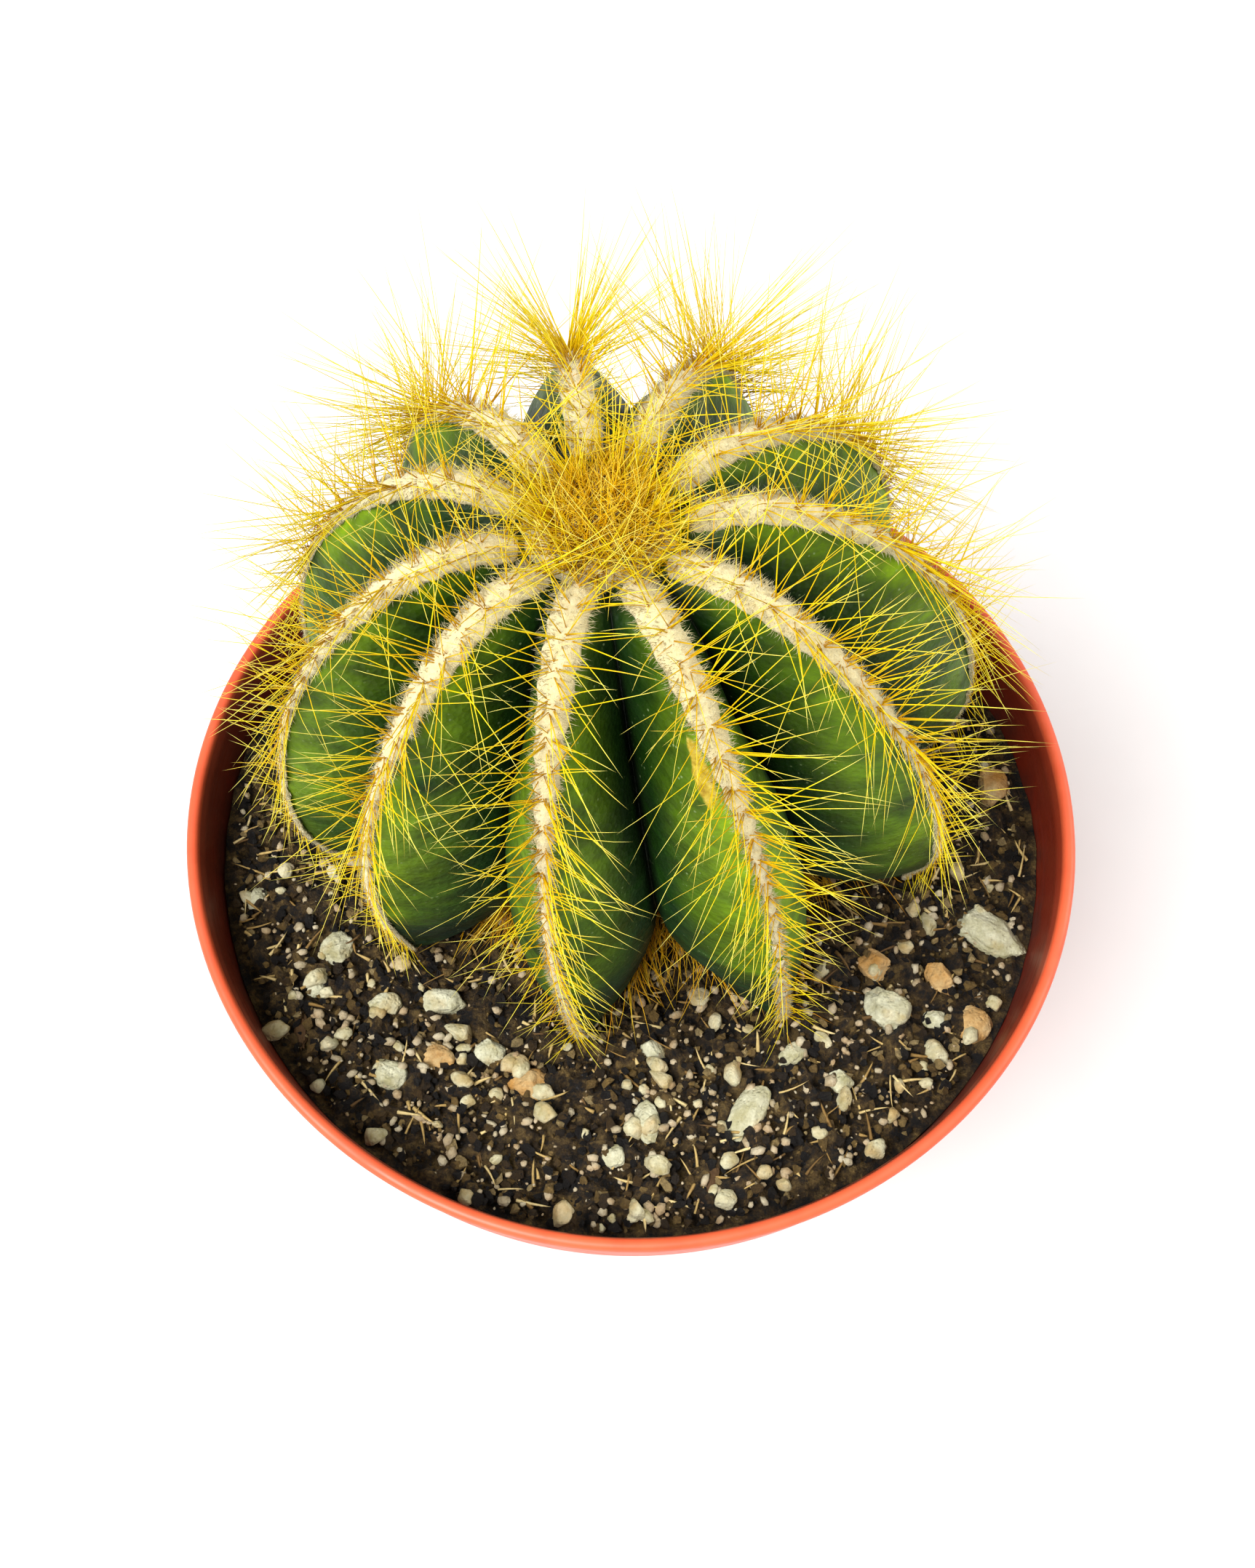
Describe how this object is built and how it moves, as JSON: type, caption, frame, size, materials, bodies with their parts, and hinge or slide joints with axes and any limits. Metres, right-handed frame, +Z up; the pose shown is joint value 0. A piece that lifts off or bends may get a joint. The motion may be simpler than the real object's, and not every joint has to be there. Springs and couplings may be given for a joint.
{
  "type": "potted round cactus",
  "caption": "Round ribbed cactus with felted ridges and golden spines, growing in gritty soil in a thin tapered plastic nursery pot.",
  "frame": {"origin": "centre of the pot's foot, on the surface that the pot stands on", "axes": "+Z up along the pot's axis, -Y to the front, +X to the right"},
  "size_m": [0.11, 0.11, 0.1557],
  "materials": {
    "terracotta_plastic": "satin",
    "potting_mix": "matte",
    "green_skin": "satin",
    "cream_felt": "matte",
    "golden_spine": "satin",
    "perlite": "matte",
    "pumice": "matte",
    "bark": "matte"
  },
  "bodies": {
    "root": {"bark_sliver_01": "bark", "bark_sliver_02": "bark", "cactus_stem": "green_skin", "crown_felt": "cream_felt", "crown_spines": "golden_spine", "perlite_grain_01": "perlite", "perlite_grain_02": "perlite", "perlite_grain_03": "perlite", "perlite_grain_04": "perlite", "perlite_grain_05": "perlite", "perlite_grain_06": "perlite", "perlite_grain_07": "perlite", "perlite_grain_08": "perlite", "perlite_grain_09": "perlite", "perlite_grain_10": "perlite", "perlite_grain_11": "perlite", "perlite_grain_12": "perlite", "perlite_grain_13": "perlite", "perlite_grain_14": "perlite", "perlite_grain_15": "perlite", "perlite_grain_16": "perlite", "pot": "terracotta_plastic", "potting_soil": "potting_mix", "pumice_stone_01": "pumice", "pumice_stone_02": "pumice", "pumice_stone_03": "pumice", "pumice_stone_04": "pumice", "pumice_stone_05": "pumice", "pumice_stone_06": "pumice", "rib_felt_01": "cream_felt", "rib_felt_02": "cream_felt", "rib_felt_03": "cream_felt", "rib_felt_04": "cream_felt", "rib_felt_05": "cream_felt", "rib_felt_06": "cream_felt", "rib_felt_07": "cream_felt", "rib_felt_08": "cream_felt", "rib_felt_09": "cream_felt", "rib_felt_10": "cream_felt", "rib_felt_11": "cream_felt", "rib_spines_01": "golden_spine", "rib_spines_02": "golden_spine", "rib_spines_03": "golden_spine", "rib_spines_04": "golden_spine", "rib_spines_05": "golden_spine", "rib_spines_06": "golden_spine", "rib_spines_07": "golden_spine", "rib_spines_08": "golden_spine", "rib_spines_09": "golden_spine", "rib_spines_10": "golden_spine", "rib_spines_11": "golden_spine"}
  },
  "joints": []
}
